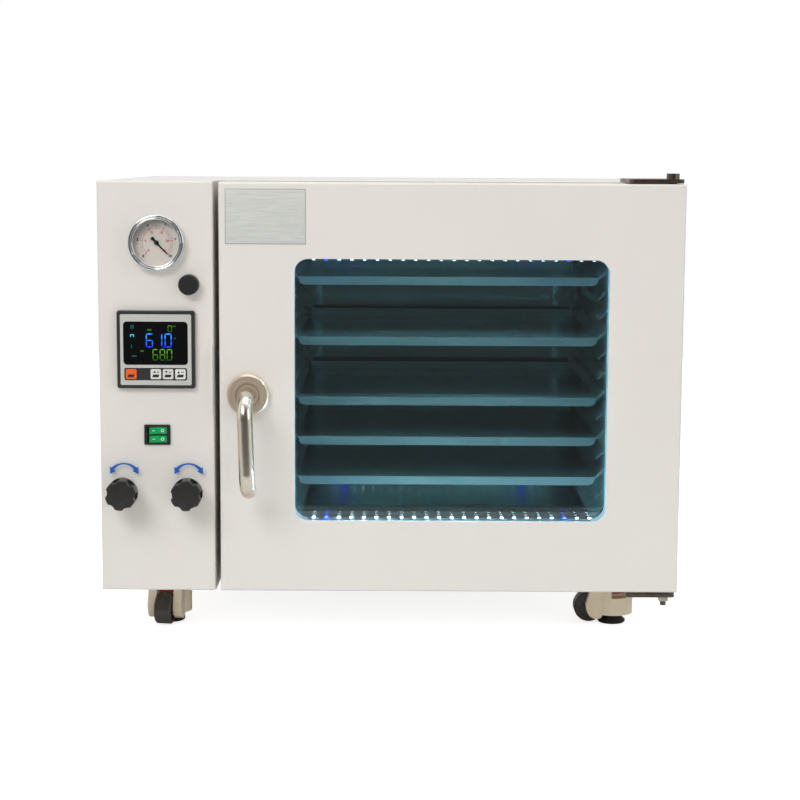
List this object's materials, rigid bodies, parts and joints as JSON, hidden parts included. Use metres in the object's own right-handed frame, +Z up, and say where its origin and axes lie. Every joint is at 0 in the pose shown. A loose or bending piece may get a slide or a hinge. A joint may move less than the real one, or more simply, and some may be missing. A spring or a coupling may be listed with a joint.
{
  "type": "vacuum oven",
  "caption": "Bench vacuum drying oven with glazed side-hinged door, shelves, lever latch, control column and levelling casters.",
  "frame": {"origin": "centre of the oven's overall box in plan, on the floor under its levelling pads", "axes": "+X to the right, +Y into the oven from its front, +Z up"},
  "size_m": [0.72, 0.6246, 0.586],
  "materials": {
    "painted_steel": "textured powder coat",
    "liner_steel": "satin powder coat",
    "polished_steel": "polished",
    "hinge_steel": "rolled",
    "brushed_steel": "satin brushed",
    "heater_foil": "foil",
    "mineral_wool": "fibrous",
    "silicone": "matt",
    "chrome": "polished",
    "dial_white": "matt print",
    "clear_glass": "clear",
    "black_plastic": "satin",
    "knob_plastic": "matt phenolic",
    "fascia_grey": "satin",
    "display_black": "gloss",
    "key_orange": "matt",
    "key_white": "matt",
    "rocker_green": "translucent",
    "led_white": "lit",
    "nickel_brass": "nickel plated",
    "zinc_steel": "zinc plated",
    "caster_ivory": "cast nylon",
    "caster_black": "nylon",
    "pad_rubber": "matt",
    "adjuster_red": "satin"
  },
  "bodies": {
    "cabinet": {"outer_casing": "painted_steel", "base_pan": "painted_steel", "front_plate": "painted_steel", "rear_panel": "painted_steel", "control_panel": "painted_steel", "chamber": "polished_steel", "heater_mats": "heater_foil", "insulation": "mineral_wool", "door_seal": "silicone", "shelf_racks": "polished_steel", "hinges": "hinge_steel", "gauge_case": "chrome", "gauge_dial": "dial_white", "gauge_lens": "clear_glass", "controller": "fascia_grey", "controller_screen": "display_black", "switch_frame": "black_plastic", "vacuum_line": "nickel_brass", "power_inlet": "black_plastic", "caster_plates": "zinc_steel"},
    "door": {"door_shell": "painted_steel", "outer_glass": "clear_glass", "window_frame": "black_plastic", "led_strips": "led_white", "inner_glass": "clear_glass", "door_liner": "liner_steel", "handle_rosette": "brushed_steel"},
    "lever": {"door_lever": "brushed_steel", "latch_cam": "brushed_steel"},
    "shelf_1": {"shelf_1": "polished_steel"},
    "shelf_2": {"shelf_2": "polished_steel"},
    "shelf_3": {"shelf_3": "polished_steel"},
    "shelf_4": {"shelf_4": "polished_steel"},
    "shelf_5": {"shelf_5": "polished_steel"},
    "gauge_pointer": {"gauge_pointer": "black_plastic"},
    "port_plug": {"port_plug": "black_plastic"},
    "key_set": {"key_set": "key_orange"},
    "key_left": {"key_left": "key_white"},
    "key_down": {"key_down": "key_white"},
    "key_up": {"key_up": "key_white"},
    "rocker_light": {"rocker_light": "rocker_green"},
    "rocker_power": {"rocker_power": "rocker_green"},
    "pump_valve_knob": {"pump_valve_knob": "knob_plastic"},
    "inlet_valve_knob": {"inlet_valve_knob": "knob_plastic"},
    "front_left_fork": {"front_left_fork": "caster_ivory"},
    "front_left_wheel": {"front_left_wheel": "caster_black"},
    "front_left_pad": {"front_left_pad": "pad_rubber"},
    "front_left_adjuster": {"front_left_adjuster": "adjuster_red"},
    "front_right_fork": {"front_right_fork": "caster_ivory"},
    "front_right_wheel": {"front_right_wheel": "caster_black"},
    "front_right_pad": {"front_right_pad": "pad_rubber"},
    "front_right_adjuster": {"front_right_adjuster": "adjuster_red"},
    "rear_left_fork": {"rear_left_fork": "caster_ivory"},
    "rear_left_wheel": {"rear_left_wheel": "caster_black"},
    "rear_left_pad": {"rear_left_pad": "pad_rubber"},
    "rear_left_adjuster": {"rear_left_adjuster": "adjuster_red"},
    "rear_right_fork": {"rear_right_fork": "caster_ivory"},
    "rear_right_wheel": {"rear_right_wheel": "caster_black"},
    "rear_right_pad": {"rear_right_pad": "pad_rubber"},
    "rear_right_adjuster": {"rear_right_adjuster": "adjuster_red"}
  },
  "joints": [
    {"name": "door_hinge", "type": "hinge", "parent": "cabinet", "child": "door", "pos_m": [0.347, -0.2127, 0.319], "axis": [0, 0, 1], "range_deg": [0, 115]},
    {"name": "lever_turn", "type": "hinge", "parent": "door", "child": "lever", "pos_m": [-0.1756, -0.2477, 0.3126], "axis": [0, -1, 0], "range_deg": [0, 90]},
    {"name": "shelf_1_slide", "type": "slide", "parent": "cabinet", "child": "shelf_1", "axis": [0, -1, 0], "range_m": [-0.018, 0.022]},
    {"name": "shelf_2_slide", "type": "slide", "parent": "cabinet", "child": "shelf_2", "axis": [0, -1, 0], "range_m": [-0.018, 0.022]},
    {"name": "shelf_3_slide", "type": "slide", "parent": "cabinet", "child": "shelf_3", "axis": [0, -1, 0], "range_m": [-0.018, 0.022]},
    {"name": "shelf_4_slide", "type": "slide", "parent": "cabinet", "child": "shelf_4", "axis": [0, -1, 0], "range_m": [-0.018, 0.022]},
    {"name": "shelf_5_slide", "type": "slide", "parent": "cabinet", "child": "shelf_5", "axis": [0, -1, 0], "range_m": [-0.018, 0.022]},
    {"name": "gauge_pointer_turn", "type": "hinge", "parent": "cabinet", "child": "gauge_pointer", "pos_m": [-0.287, -0.2377, 0.499], "axis": [0, -1, 0], "range_deg": [0, 270]},
    {"name": "port_plug_pull", "type": "slide", "parent": "cabinet", "child": "port_plug", "axis": [0, -1, 0], "range_m": [0, 0.035]},
    {"name": "key_set_press", "type": "slide", "parent": "cabinet", "child": "key_set", "axis": [0, 1, 0], "range_m": [0, 0.0008], "stiffness_N_per_m": 600},
    {"name": "key_left_press", "type": "slide", "parent": "cabinet", "child": "key_left", "axis": [0, 1, 0], "range_m": [0, 0.0008], "stiffness_N_per_m": 600},
    {"name": "key_down_press", "type": "slide", "parent": "cabinet", "child": "key_down", "axis": [0, 1, 0], "range_m": [0, 0.0008], "stiffness_N_per_m": 600},
    {"name": "key_up_press", "type": "slide", "parent": "cabinet", "child": "key_up", "axis": [0, 1, 0], "range_m": [0, 0.0008], "stiffness_N_per_m": 600},
    {"name": "rocker_light_tilt", "type": "hinge", "parent": "cabinet", "child": "rocker_light", "pos_m": [-0.2888, -0.2362, 0.2666], "axis": [0, 0, 1], "range_deg": [-24, 0]},
    {"name": "rocker_power_tilt", "type": "hinge", "parent": "cabinet", "child": "rocker_power", "pos_m": [-0.2888, -0.2362, 0.256], "axis": [0, 0, 1], "range_deg": [-24, 0]},
    {"name": "pump_valve_turn", "type": "hinge", "parent": "cabinet", "child": "pump_valve_knob", "pos_m": [-0.33, -0.2377, 0.1915], "axis": [0, -1, 0], "range_deg": [0, 270]},
    {"name": "inlet_valve_turn", "type": "hinge", "parent": "cabinet", "child": "inlet_valve_knob", "pos_m": [-0.25, -0.2377, 0.1915], "axis": [0, -1, 0], "range_deg": [0, 270]},
    {"name": "front_left_swivel", "type": "hinge", "parent": "cabinet", "child": "front_left_fork", "pos_m": [-0.287, -0.1307, 0.058], "axis": [0, 0, 1], "continuous": true},
    {"name": "front_left_wheel_roll", "type": "hinge", "parent": "front_left_fork", "child": "front_left_wheel", "pos_m": [-0.29124, -0.1609, 0.0215], "axis": [0.9903, -0.1392, 0], "continuous": true},
    {"name": "front_left_pad_screw", "type": "slide", "parent": "front_left_fork", "child": "front_left_pad", "axis": [0, 0, -1], "range_m": [-0.0025, 0.008]},
    {"name": "front_left_adjuster_turn", "type": "hinge", "parent": "front_left_fork", "child": "front_left_adjuster", "pos_m": [-0.287, -0.1307, 0.0485], "axis": [0, 0, 1], "range_deg": [-601, 1921]},
    {"name": "front_right_swivel", "type": "hinge", "parent": "cabinet", "child": "front_right_fork", "pos_m": [0.2915, -0.1307, 0.058], "axis": [0, 0, 1], "continuous": true},
    {"name": "front_right_wheel_roll", "type": "hinge", "parent": "front_right_fork", "child": "front_right_wheel", "pos_m": [0.261, -0.1307, 0.0215], "axis": [0, -1, 0], "continuous": true},
    {"name": "front_right_pad_screw", "type": "slide", "parent": "front_right_fork", "child": "front_right_pad", "axis": [0, 0, -1], "range_m": [-0.0025, 0.008]},
    {"name": "front_right_adjuster_turn", "type": "hinge", "parent": "front_right_fork", "child": "front_right_adjuster", "pos_m": [0.2915, -0.1307, 0.0485], "axis": [0, 0, 1], "range_deg": [-601, 1921]},
    {"name": "rear_left_swivel", "type": "hinge", "parent": "cabinet", "child": "rear_left_fork", "pos_m": [-0.287, 0.2273, 0.058], "axis": [0, 0, 1], "continuous": true},
    {"name": "rear_left_wheel_roll", "type": "hinge", "parent": "rear_left_fork", "child": "rear_left_wheel", "pos_m": [-0.287, 0.1968, 0.0215], "axis": [1, 0, 0], "continuous": true},
    {"name": "rear_left_pad_screw", "type": "slide", "parent": "rear_left_fork", "child": "rear_left_pad", "axis": [0, 0, -1], "range_m": [-0.0025, 0.008]},
    {"name": "rear_left_adjuster_turn", "type": "hinge", "parent": "rear_left_fork", "child": "rear_left_adjuster", "pos_m": [-0.287, 0.2273, 0.0485], "axis": [0, 0, 1], "range_deg": [-601, 1921]},
    {"name": "rear_right_swivel", "type": "hinge", "parent": "cabinet", "child": "rear_right_fork", "pos_m": [0.2915, 0.2273, 0.058], "axis": [0, 0, 1], "continuous": true},
    {"name": "rear_right_wheel_roll", "type": "hinge", "parent": "rear_right_fork", "child": "rear_right_wheel", "pos_m": [0.2915, 0.1968, 0.0215], "axis": [1, 0, 0], "continuous": true},
    {"name": "rear_right_pad_screw", "type": "slide", "parent": "rear_right_fork", "child": "rear_right_pad", "axis": [0, 0, -1], "range_m": [-0.0025, 0.008]},
    {"name": "rear_right_adjuster_turn", "type": "hinge", "parent": "rear_right_fork", "child": "rear_right_adjuster", "pos_m": [0.2915, 0.2273, 0.0485], "axis": [0, 0, 1], "range_deg": [-601, 1921]}
  ],
  "couplings": [
    {"joint": "front_left_adjuster_turn", "follows": "front_left_pad_screw", "rad_per_m": 4188.8},
    {"joint": "front_right_adjuster_turn", "follows": "front_right_pad_screw", "rad_per_m": 4188.8},
    {"joint": "rear_left_adjuster_turn", "follows": "rear_left_pad_screw", "rad_per_m": 4188.8},
    {"joint": "rear_right_adjuster_turn", "follows": "rear_right_pad_screw", "rad_per_m": 4188.8}
  ]
}
